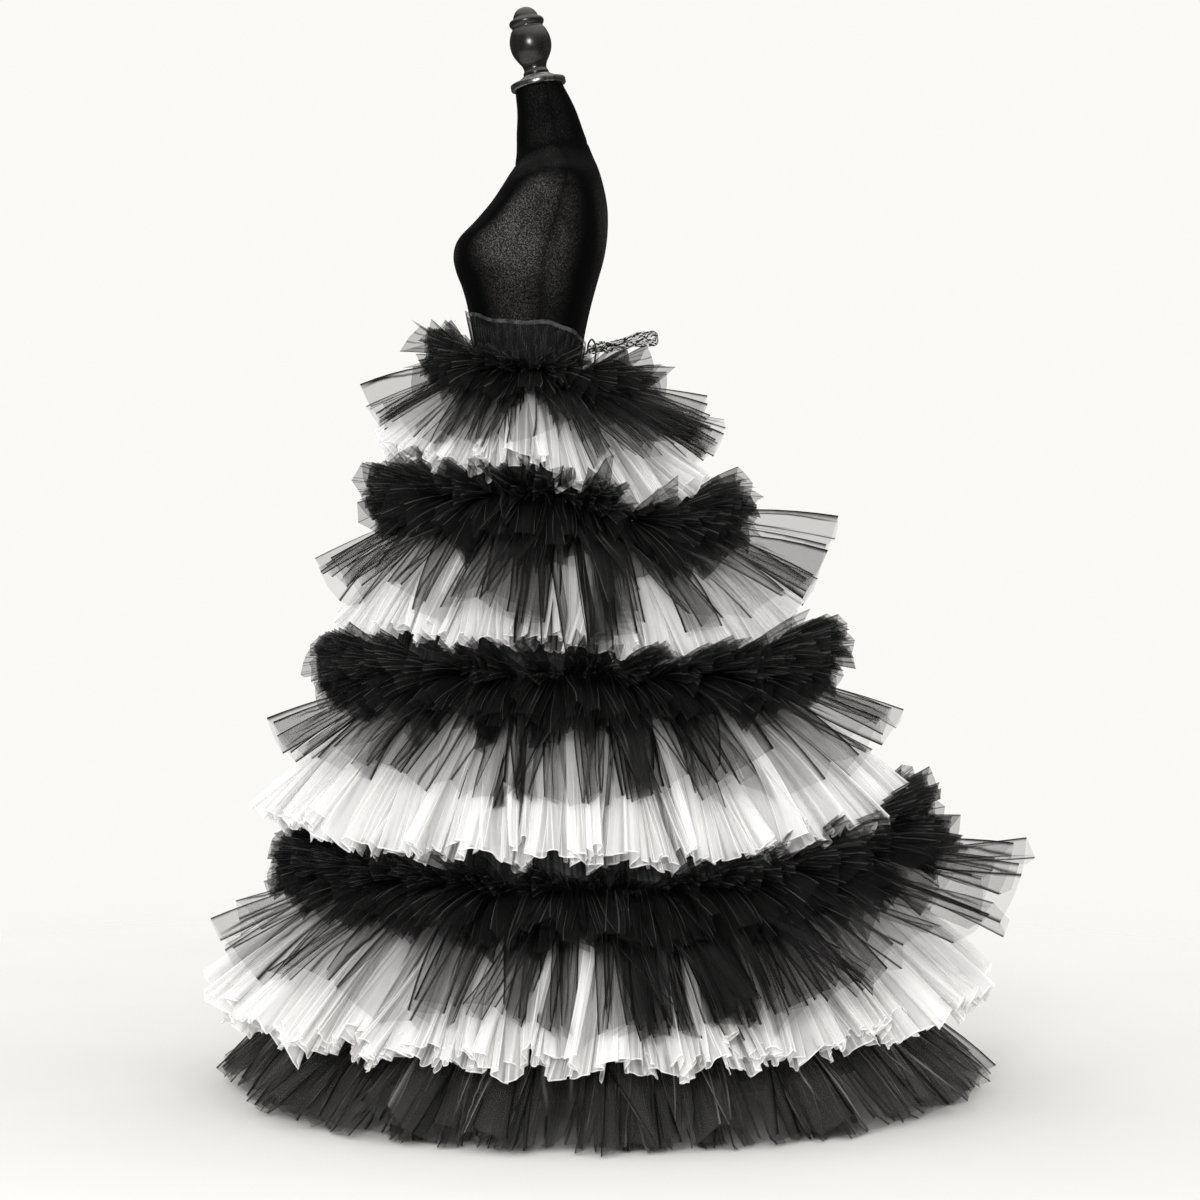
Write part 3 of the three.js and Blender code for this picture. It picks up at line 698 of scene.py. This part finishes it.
def velvet_material():
    """Black velvet with painted light on its sides, front, back and shoulders, painted shade along its
    seams, crushed patches and a grain of single tufts.
    """
    tree = Nodes("black_velvet")
    crushed = tree.step(tree.noise(14.0, 3.0), 0.3, 0.7, 0.55, 1.3)
    tufts = tree.step(tree.noise(450.0, 2.0, roughness=0.8), 0.44, 0.72, 0.25, 3.0)
    # The painted light, broken up by crushed patches and single tufts.
    lit = tree.times(painted_velvet_light(tree), crushed, tufts)
    tint = tree.colour(tree.math("MULTIPLY", lit, 0.35, clamp=True), PILE_IN_PAINTED_SHADE, PILE_IN_PAINTED_LIGHT)
    return tree.principled(
        Base_Color=tint, Roughness=0.95, Specular_IOR_Level=0.012, Sheen_Weight=0.006, Sheen_Roughness=0.4,
        Normal=tree.bump(tree.noise(500.0, 2.0), 0.35, 0.0008))


def turned_material():
    """Dark satin varnish over turned wood."""
    tree = Nodes("turned_wood")
    along = tree.stretched(tree.place(), (90.0, 90.0, 24.0))
    grain = tree.step(tree.noise(1.0, 4.0, along), 0.3, 0.75)
    return tree.principled(
        Base_Color=tree.colour(grain, (0.003, 0.0028, 0.0026), (0.009, 0.0083, 0.0077)),
        Roughness=tree.step(tree.noise(60.0, 3.0), 0.2, 0.8, 0.22, 0.31),
        Specular_IOR_Level=0.8, Normal=tree.bump(grain, 0.1, 0.0005))


def metal_material(name, dark, light, *roughness):
    """Metal with uneven polish."""
    tree = Nodes(name)
    patches = tree.step(tree.noise(60.0, 4.0), 0.3, 0.75)
    return tree.principled(
        Base_Color=tree.colour(patches, dark, light),
        Roughness=tree.step(tree.noise(180.0, 3.0), 0.2, 0.8, *roughness),
        Metallic=1.0, Normal=tree.bump(tree.noise(480.0, 3.0), 0.15, 0.0004))


def lining_material():
    """Closely gathered black net, too dense to see through."""
    tree = Nodes("black_lining")
    streaks = tree.noise(1.0, 4.0, tree.stretched(tree.cloth(), (1.3, 3.0, 1.0)))
    tint = tree.colour(tree.step(streaks, 0.35, 0.7), grey(0.02), grey(0.08))
    return tree.finish(tree.diffuse(tint))


def band_material(cover, edge_cover, edge_from):
    """Black net of the waistband: crossed by soft wrinkles, and doubled along its upper edge; these hide
    more and carry a painted sheen, lighter than the rest.
    """
    tree = Nodes("band_net")
    cloth = tree.cloth()
    axes = tree.axes(cloth)
    crease = tree.step(tree.math("PINGPONG", axes[0], 0.5), 0.0, 0.12, 1.0, 0.0)
    wrinkle = tree.step(tree.noise(1.0, 4.0, tree.stretched(cloth, (0.35, 2.5, 1.0))), 0.4, 0.62)
    uneven = tree.step(tree.noise(60.0, 3.0), 0.35, 0.65, 0.25, 0.8)
    doubled = tree.times(tree.step(axes[1], edge_from, edge_from + 0.03), uneven)
    marked = tree.math("MAXIMUM", tree.times(crease, wrinkle), doubled)
    hidden = tree.math("MULTIPLY_ADD", marked, edge_cover - cover, cover, clamp=True)
    # The wrinkles and the doubled edge get a painted sheen.
    tint = tree.colour(marked, grey(0.01), grey(0.085))
    return tree.finish(tree.over_nothing(hidden, tree.diffuse(tint)))


def ribbon_material():
    """A crinkled strip of black net whose threads draw together into wavy strands along it."""
    tree = Nodes("tie_net")
    cloth = tree.cloth()
    wander = tree.noise(1.0, 2.0, tree.stretched(cloth, (0.55, 1.5, 1.0)))
    strands = tree.math("MULTIPLY_ADD", wander, 3.4, tree.times(tree.axes(cloth)[1], 3.0))
    strand = tree.step(tree.math("PINGPONG", strands, 0.5), 0.14, 0.34, 1.0, 0.0)
    tint = tree.colour(strand, grey(0.02), grey(0.008))
    return tree.finish(tree.over_nothing(tree.step(strand, 0.0, 1.0, 0.36, 0.98), tree.diffuse(tint)))


def cord_material():
    """Twisted black cord."""
    tree = Nodes("black_cord")
    twist = tree.step(tree.noise(900.0, 2.0), 0.3, 0.7)
    return tree.principled(Base_Color=tree.colour(twist, grey(0.004), grey(0.03)), Roughness=0.7)


VELVET = velvet_material()
TURNED = turned_material()
PEWTER = metal_material("pewter", (0.14, 0.136, 0.131), (0.36, 0.35, 0.338), 0.2, 0.36)
STEEL = metal_material("dark_steel", (0.05, 0.05, 0.052), (0.16, 0.16, 0.165), 0.3, 0.55)
LINING = lining_material()
BAND_NET = band_material(0.42, 0.85, 0.9)
TIE_NET = ribbon_material()
CORD = cord_material()
NET = {look: net_material(look + "_net", NETS[look]) for look in NETS}


def dress(piece, material, slot, *replaced):
    """Gives a piece its finish, the body it rides on and the CAD nodes that it stands for."""
    piece.data.materials.clear()
    piece.data.materials.append(material)
    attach(piece, BODY)
    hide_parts(*replaced)


# ---- dress form

TORSO_COLUMNS = 256
# Heights in millimetres and the step between rows from there up: finest where the neck seam runs.
TORSO_BANDS = [(880, 8.0), (1144, 4.5), (1464, 1.7), (1518, 4.0)]
SIDE_CROWDING = 0.35  # columns stand closer together along the sides, where the side seams run
# The seams' grooves and the wider painted shade around them, in millimetres, and how dark the painted shade
# makes the velvet in each.
SEAM = Named(depth=1.3, half_width=3.2, shade_width=14, groove_shade=0.7, shade=0.6)

# Seams on each side of the form, as (depth from front to back, height) in millimetres.
SIDE_SEAM = [(28, 1604), (33, 1574), (46, 1508), (61, 1476), (63, 1450), (62, 1426), (44, 1365),
             (28, 1318), (21, 1240), (18, 1160)]
NECK_SEAM = [(-24, 1476), (-10, 1484), (20, 1499), (47, 1508), (75, 1512), (94, 1514)]


def torso_surface(turn, z):
    """Points of the dress form's surface, in metres, at directions and heights in millimetres."""
    heights, *sizes = np.array(TORSO, float).T
    z = np.clip(z, heights[0], heights[-1])
    front, back, half, square, cleft, lean = [smooth_through(z, heights, size) for size in sizes]
    sine, cosine = np.sin(turn), np.cos(turn)
    x = half * np.sign(sine) * np.abs(sine) ** (2 / square)
    middle = (front + back) / 2
    reach = (back - front) / 2 * np.sign(cosine) * np.abs(cosine) ** (2 / square)
    dip = np.where(cosine > 0, cleft * np.exp(-((x / CLEFT_WIDTH) ** 2)), 0)
    y = middle - reach + dip
    return np.stack([x, y, z + lean * (y - middle)], axis=-1) * MM


def near_seam(points, half_width):
    """How close points are to a seam, from 0 to 1."""
    close = np.zeros(points.shape[:-1])
    flat = points[..., 1:] / MM
    for seam in (SIDE_SEAM, NECK_SEAM):
        line = np.array(seam, float)
        for a, b in zip(line[:-1], line[1:]):
            share = np.clip(((flat - a) @ (b - a)) / ((b - a) @ (b - a)), 0, 1)
            away = np.linalg.norm(flat - (a + share[..., None] * (b - a)), axis=-1)
            close = np.maximum(close, np.exp(-((away / half_width) ** 2)))
    return close


def make_torso():
    ends = [start for start, _ in TORSO_BANDS[1:]] + [TORSO[-1][0]]
    z = [np.arange(start, end, step) for (start, step), end in zip(TORSO_BANDS, ends)]
    z = np.concatenate([*z, [TORSO[-1][0]]])
    even = np.arange(TORSO_COLUMNS) / TORSO_COLUMNS * TAU
    turn = even + SIDE_CROWDING * np.sin(2 * even)
    grid = torso_surface(*np.broadcast_arrays(turn[:, None], z[None, :]))
    pulled_in = near_seam(grid, SEAM.half_width)
    # Painted shade along the seams, darkest in their grooves, kept in the seam attribute for the velvet.
    painted_seam_shade = SEAM.shade * near_seam(grid, SEAM.shade_width)
    painted_seam_shade = np.maximum(SEAM.groove_shade * pulled_in, painted_seam_shade)
    grid -= outward(turn)[:, None, :] * (pulled_in * SEAM.depth * MM)[..., None]
    piece = grid_object("velvet_torso", capped(grid), closed=True)
    painted_seam_shade = np.concatenate([painted_seam_shade[:, :1], painted_seam_shade, painted_seam_shade[:, -1:]], axis=1)
    seam = piece.data.attributes.new("seam", "FLOAT", "POINT")
    seam.data.foreach_set("value", painted_seam_shade.ravel().astype(np.float32))
    weld(piece)
    dress(piece, VELVET, "velvet", "form_torso")


def lathe(name, profile, place, tilt, segments=96):
    """A turned piece from a profile of (radius, height) in metres, tilted towards the front about X."""
    turn = np.arange(segments) / segments * TAU
    x = np.sin(turn)[:, None] * profile[None, :, 0]
    y = -np.cos(turn)[:, None] * profile[None, :, 0]
    z = np.broadcast_to(profile[None, :, 1], x.shape)
    grid = np.stack([x, *rotated(y, z, tilt)], axis=-1) + np.array(place)
    piece = grid_object(name, grid, closed=True)
    weld(piece)
    return piece


NECK_TILT = math.atan(0.19)
NECK_TOP = (0, 14 * MM, 1604.5 * MM)
# Radius and height of the cap's outline above the neck, in millimetres.
CAP_PROFILE = [(0, 0), (42.5, 0), (44.3, 0.7), (45, 2.2), (45, 8.6), (44.2, 10.3), (42.4, 11), (32.5, 11.2),
               (30.8, 11.8), (30, 13), (29.6, 15.2), (28.4, 16.4), (25.5, 16.8), (24.3, 17.6), (23.8, 19.2),
               (22.8, 20), (0, 20)]
# Radius and height of the finial's outline above the cap, in millimetres.
FINIAL_PROFILE = [(20, 0), (21, 3), (18.5, 9), (20, 17), (26, 27), (31.5, 38), (33.7, 50), (32.5, 62),
                  (28.5, 73), (25, 80), (27, 82.5), (28.5, 87), (26.5, 91.5), (21.5, 94), (19, 100),
                  (14, 107), (7, 111), (0, 112)]
FINIAL_START = 20.5


def rotated(a, b, angle):
    """Two coordinates after a turn about the third axis."""
    return a * math.cos(angle) - b * math.sin(angle), a * math.sin(angle) + b * math.cos(angle)


def softened(points, steps):
    """A rounder line through the same points."""
    points = np.array(points, float)
    knots = np.append(0, np.cumsum(np.linalg.norm(np.diff(points, axis=0), axis=1)))
    at = np.linspace(0, knots[-1], steps)
    return np.stack([smooth_through(at, knots, points[:, k]) for k in range(points.shape[1])], axis=-1)


def make_head():
    cap = lathe("pewter_cap", np.array(CAP_PROFILE, float) * MM, NECK_TOP, NECK_TILT)
    dress(cap, PEWTER, "cap_metal", "neck_cap")
    outline = softened(FINIAL_PROFILE, 90) + [0, FINIAL_START]
    outline[:, 0] = np.maximum(outline[:, 0], 0)
    outline = np.concatenate([[[0, FINIAL_START]], outline])
    finial = lathe("turned_finial", outline * MM, NECK_TOP, NECK_TILT)
    dress(finial, TURNED, "turned_wood", "finial")


def finish_stand():
    for name in ("stand_foot", "stand_pole"):
        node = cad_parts[name]
        node.data.materials.clear()
        node.data.materials.append(STEEL)


# ---- waist

# The casing's top edge has slow and quick waves, as (millimetres, waves round, phase). It puffs out on both
# sides of the front, at and spread in radians.
BAND = Named(pleats=118, columns=6, rows=16, top=(1238, 1216, 1190), waves=[(2.0, 3, 1), (1.2, 11, 0)])
BAND_PUFF = Named(size=7, at=0.5, spread=0.22)
# How far it stands off the form at its bottom, how much more at its top, and how far it sways and ripples.
BAND_LOOSE = Named(bottom=1.0, top=3.4, sway=1.6, ripple=1.4, smoother_up=0.55)


def make_waistband():
    """A wide casing of sheer net, gathered along its lower edge and loose along its top."""
    rng = np.random.default_rng(SEED + 71)
    pleats = BAND.pleats
    columns = pleats * BAND.columns
    turn = np.arange(columns) / columns * TAU
    bottom = ring_point("top", turn)[:, 2] / MM + 1
    top = around(turn, *BAND.top)
    for size, waves, phase in BAND.waves:
        top = top + size * np.sin(waves * turn + phase)
    sway = rng.uniform(-1, 1, pleats + 1)
    sway[-1] = sway[0]
    sway = np.interp(turn * pleats / TAU, np.arange(pleats + 1), sway)
    from_front = np.abs((turn + math.pi) % TAU - math.pi)
    puffed = np.exp(-(((from_front - BAND_PUFF.at) / BAND_PUFF.spread) ** 2))
    points = []
    for row in range(BAND.rows + 1):
        v = row / BAND.rows
        z = bottom + (top - bottom) * v
        ripple = 0.5 + 0.5 * np.cos(turn * pleats + 0.8 * sway + 1.2 * v)
        loose = BAND_LOOSE.bottom + BAND_LOOSE.top * v
        loose = loose + BAND_LOOSE.sway * v * sway * math.sin(3 * v)
        loose += BAND_LOOSE.ripple * ripple * (1 - BAND_LOOSE.smoother_up * v)
        loose += BAND_PUFF.size * puffed * math.sin(math.pi * v) ** 0.7
        points.append(torso_surface(turn, z) + outward(turn) * loose[:, None] * MM)
    grid = np.stack(points, axis=1)
    piece = grid_object("sheer_waistband", grid, across=turn * pleats / TAU * 2, closed=True)
    dress(piece, BAND_NET, "black_tulle", "waistband")


# The folded ribbon: its length, its opening where it bends back, its width, how far its ends are from its
# middle and how late it opens, how far behind the form it starts and how high, and its tilts in degrees.
TIE = Named(length=115, opening=19, width=24, root=3, opens=1.4, behind=10, height=1179, lift=11, roll=38)
TIE_STEPS = Named(straight=34, bend=14, across=12)
TIE_CRINKLES = (1.0, 0.5, 0.9)  # millimetres: slow, quick, and from row to row


def make_tie():
    """A net ribbon folded into a loop at the centre back, crinkled along its length."""
    rng = np.random.default_rng(SEED + 72)
    half = TIE.opening / 2
    bend = TIE.length - half
    straight = np.linspace(0, bend, TIE_STEPS.straight)
    arc = np.linspace(math.pi / 2, -math.pi / 2, TIE_STEPS.bend)[1:-1]
    gap = TIE.root + (half - TIE.root) * (straight / bend) ** TIE.opens
    along = np.concatenate([straight, bend + half * np.cos(arc), straight[::-1]])
    over = np.concatenate([gap, half * np.sin(arc), -gap[::-1]])
    wave = np.cumsum(rng.uniform(0.5, 1.1, len(along)))
    pinch = 0.66 + 0.2 * np.sin(wave * 0.37) + 0.12 * np.cos(wave * 0.9)
    slow, quick, by_row = TIE_CRINKLES
    points = []
    for row in range(TIE_STEPS.across + 1):
        v = row / TIE_STEPS.across - 0.5
        crinkle = slow * np.sin(wave + 5 * v) + quick * np.cos(2.3 * wave - 9 * v)
        crinkle += by_row * math.cos(row * math.pi)
        points.append(np.stack([v * TIE.width * pinch, along, over + crinkle], axis=-1))
    grid = np.stack(points, axis=1)
    x, z = rotated(grid[..., 0], grid[..., 2], math.radians(TIE.roll))
    y, z = rotated(grid[..., 1], z, math.radians(TIE.lift))
    root = torso_surface(np.array(math.pi), np.array(float(TIE.height)))
    grid = np.stack([x, y, z], axis=-1) * MM + root + np.array([0, TIE.behind * MM, 0])
    piece = grid_object("tie_ribbon", grid, across=np.arange(len(along)) * 0.5)
    dress(piece, TIE_NET, "black_tulle", "tie_loop")


# The cord loop's line in millimetres, as (backwards, up) from where it leaves the waistband. It starts
# inside the waistband and ends down in the first ruche.
CORD_LINE = [(-7.5, -1), (-3, -0.5), (-0.3, 3), (0, 9.6), (1.6, 17.5), (6.5, 24), (11.4, 17.5), (13, 9.6),
             (12.5, -4), (10, -22)]
CORD_LOOP = Named(radius=1.5, sides=12, steps=56, lowered=0.95, inset=1.6)  # lowered to this share


def make_cord():
    low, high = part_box("cord_loop")
    line = softened(CORD_LINE, CORD_LOOP.steps)
    path = np.stack([np.zeros(len(line)), line[:, 0], line[:, 1] * CORD_LOOP.lowered], axis=-1) * MM
    path += np.array([(low.x + high.x) / 2, low.y + CORD_LOOP.inset * MM, low.z])
    ahead = np.gradient(path, axis=0)
    ahead /= np.linalg.norm(ahead, axis=1, keepdims=True)
    across = np.array([1.0, 0, 0])
    side = np.cross(across, ahead)
    turn = np.arange(CORD_LOOP.sides) / CORD_LOOP.sides * TAU
    ring = side * np.cos(turn)[:, None, None] + across * np.sin(turn)[:, None, None]
    piece = grid_object("hanging_cord", capped(path + ring * CORD_LOOP.radius * MM), closed=True)
    weld(piece)
    dress(piece, CORD, "cord", "cord_loop")


# The lining's ripples have the first size at the waist and grow by the second down to its edge, which stays
# so far above the hem ring.
SKIRT = Named(columns=480, rows=4, ripples=120, ripple=(0.6, 1.2), clear=0.8, raised=55)


def make_lining():
    """The base skirt, one gathered layer that carries every seam."""
    columns, rows = SKIRT.columns, SKIRT.rows
    turn = np.arange(columns) / columns * TAU
    points = []
    for upper, lower in zip(RING_ORDER[:-1], RING_ORDER[1:]):
        high, low = ring_point(upper, turn), ring_point(lower, turn)
        points += [high + (low - high) * k / rows for k in range(rows)]
    points.append(ring_point("hem", turn) + np.array([0, 0, SKIRT.raised * MM]))
    share = np.linspace(0, 1, len(points))
    least, growth = SKIRT.ripple
    ripple = np.cos(SKIRT.ripples * turn)[:, None] * (least + growth * share)
    ripple = ripple + SKIRT.clear
    grid = np.stack(points, axis=1) + outward(turn)[:, None, :] * ripple[..., None] * MM
    piece = grid_object("gathered_lining", grid, across=np.arange(columns) * 0.5, closed=True)
    dress(piece, LINING, "black_tulle", "base_skirt")


def make_strips():
    for name, spec in STRIPS.items():
        grid, folds = strip_points(spec)
        piece = grid_object("cloth_" + name, grid, across=folds)
        dress(piece, NET[spec.look], "white_tulle" if spec.look == "white" else "black_tulle", name)


# ---- camera, light and stage

CAMERA = Named(place=(4.2, 0.113, 0.775), lens=77.8, sensor=36)
STUDIO_LIGHT = 1.7
LIGHT_COLOUR = (1.0, 0.995, 0.985)
STUDIO_WHITE = (0.96, 0.95, 0.925)
KEY_LIGHT = Named(place=(4.6, -0.5, 2.1), target=(0, 0.1, 0.9), size=(0.9, 0.9), power=120)
FLOOR = Named(reach=14, colour=(0.52, 0.516, 0.503), solid=0.7, gone=3.4)


def add_camera():
    data = bpy.data.cameras.new("camera")
    data.lens = CAMERA.lens
    data.sensor_width = CAMERA.sensor
    camera = put_in_scene("camera", data)
    camera.location = CAMERA.place
    camera.rotation_euler = (math.pi / 2, 0, math.pi / 2)
    bpy.context.scene.camera = camera


def add_key_light():
    """A soft light from the wearer's left, high up and a little in front."""
    data = bpy.data.lights.new("key", "AREA")
    data.shape = "RECTANGLE"
    data.size, data.size_y = KEY_LIGHT.size
    data.energy = KEY_LIGHT.power
    light = put_in_scene("key", data)
    light.location = KEY_LIGHT.place
    aim = Vector(KEY_LIGHT.target) - light.location
    light.rotation_euler = aim.to_track_quat("-Z", "Y").to_euler()


def add_floor():
    """A pale floor that fades into the studio's white a few metres out, so that no horizon shows."""
    side = FLOOR.reach / 2
    corners = np.array([[[-side, -side, 0], [-side, side, 0]], [[side, -side, 0], [side, side, 0]]], float)
    floor = grid_object("pale_floor", corners)
    tree = Nodes("pale_floor")
    away = tree.add("VectorMath", dict(operation="LENGTH"), Vector=tree.place()).outputs["Value"]
    solid = tree.step(away, FLOOR.solid, FLOOR.gone, 1.0, 0.0)
    mottle = tree.step(tree.noise(1.6, 3.0), 0.3, 0.7)
    tint = tree.colour(mottle, FLOOR.colour, tuple(c * 1.03 for c in FLOOR.colour))
    floor.data.materials.append(tree.finish(tree.over_nothing(solid, tree.diffuse(tint))))


def add_world():
    """Even studio light. The camera sees a softer white, and gloss mirrors a dark room lit from above."""
    tree = Nodes("studio", "World")
    path = tree.add("LightPath")
    towards = tree.add("TexCoord").outputs["Generated"]
    overhead = tree.step(tree.axes(towards)[2], 0.35, 0.95, 0.05, 1.3)
    even = tree.add("Background", Color=LIGHT_COLOUR, Strength=STUDIO_LIGHT).outputs[0]
    mirrored = tree.add("Background", Color=LIGHT_COLOUR, Strength=overhead).outputs[0]
    seen = tree.add("Background", Color=STUDIO_WHITE, Strength=1.0).outputs[0]
    lighting = tree.blend(path.outputs["Is Glossy Ray"], even, mirrored)
    world = tree.finish(tree.blend(path.outputs["Is Camera Ray"], lighting, seen))
    world.cycles.sampling_method = "AUTOMATIC"
    bpy.context.scene.world = world


def set_up_render():
    scene = bpy.context.scene
    scene.view_settings.view_transform = "Standard"
    scene.cycles.max_bounces = 7
    scene.cycles.diffuse_bounces = 4
    scene.cycles.glossy_bounces = 2
    scene.cycles.transmission_bounces = 3
    scene.cycles.transparent_max_bounces = 28


add_camera()
make_cord()
make_torso()
make_head()
finish_stand()
make_lining()
make_waistband()
make_tie()
make_strips()
add_floor()
add_world()
add_key_light()
set_up_render()
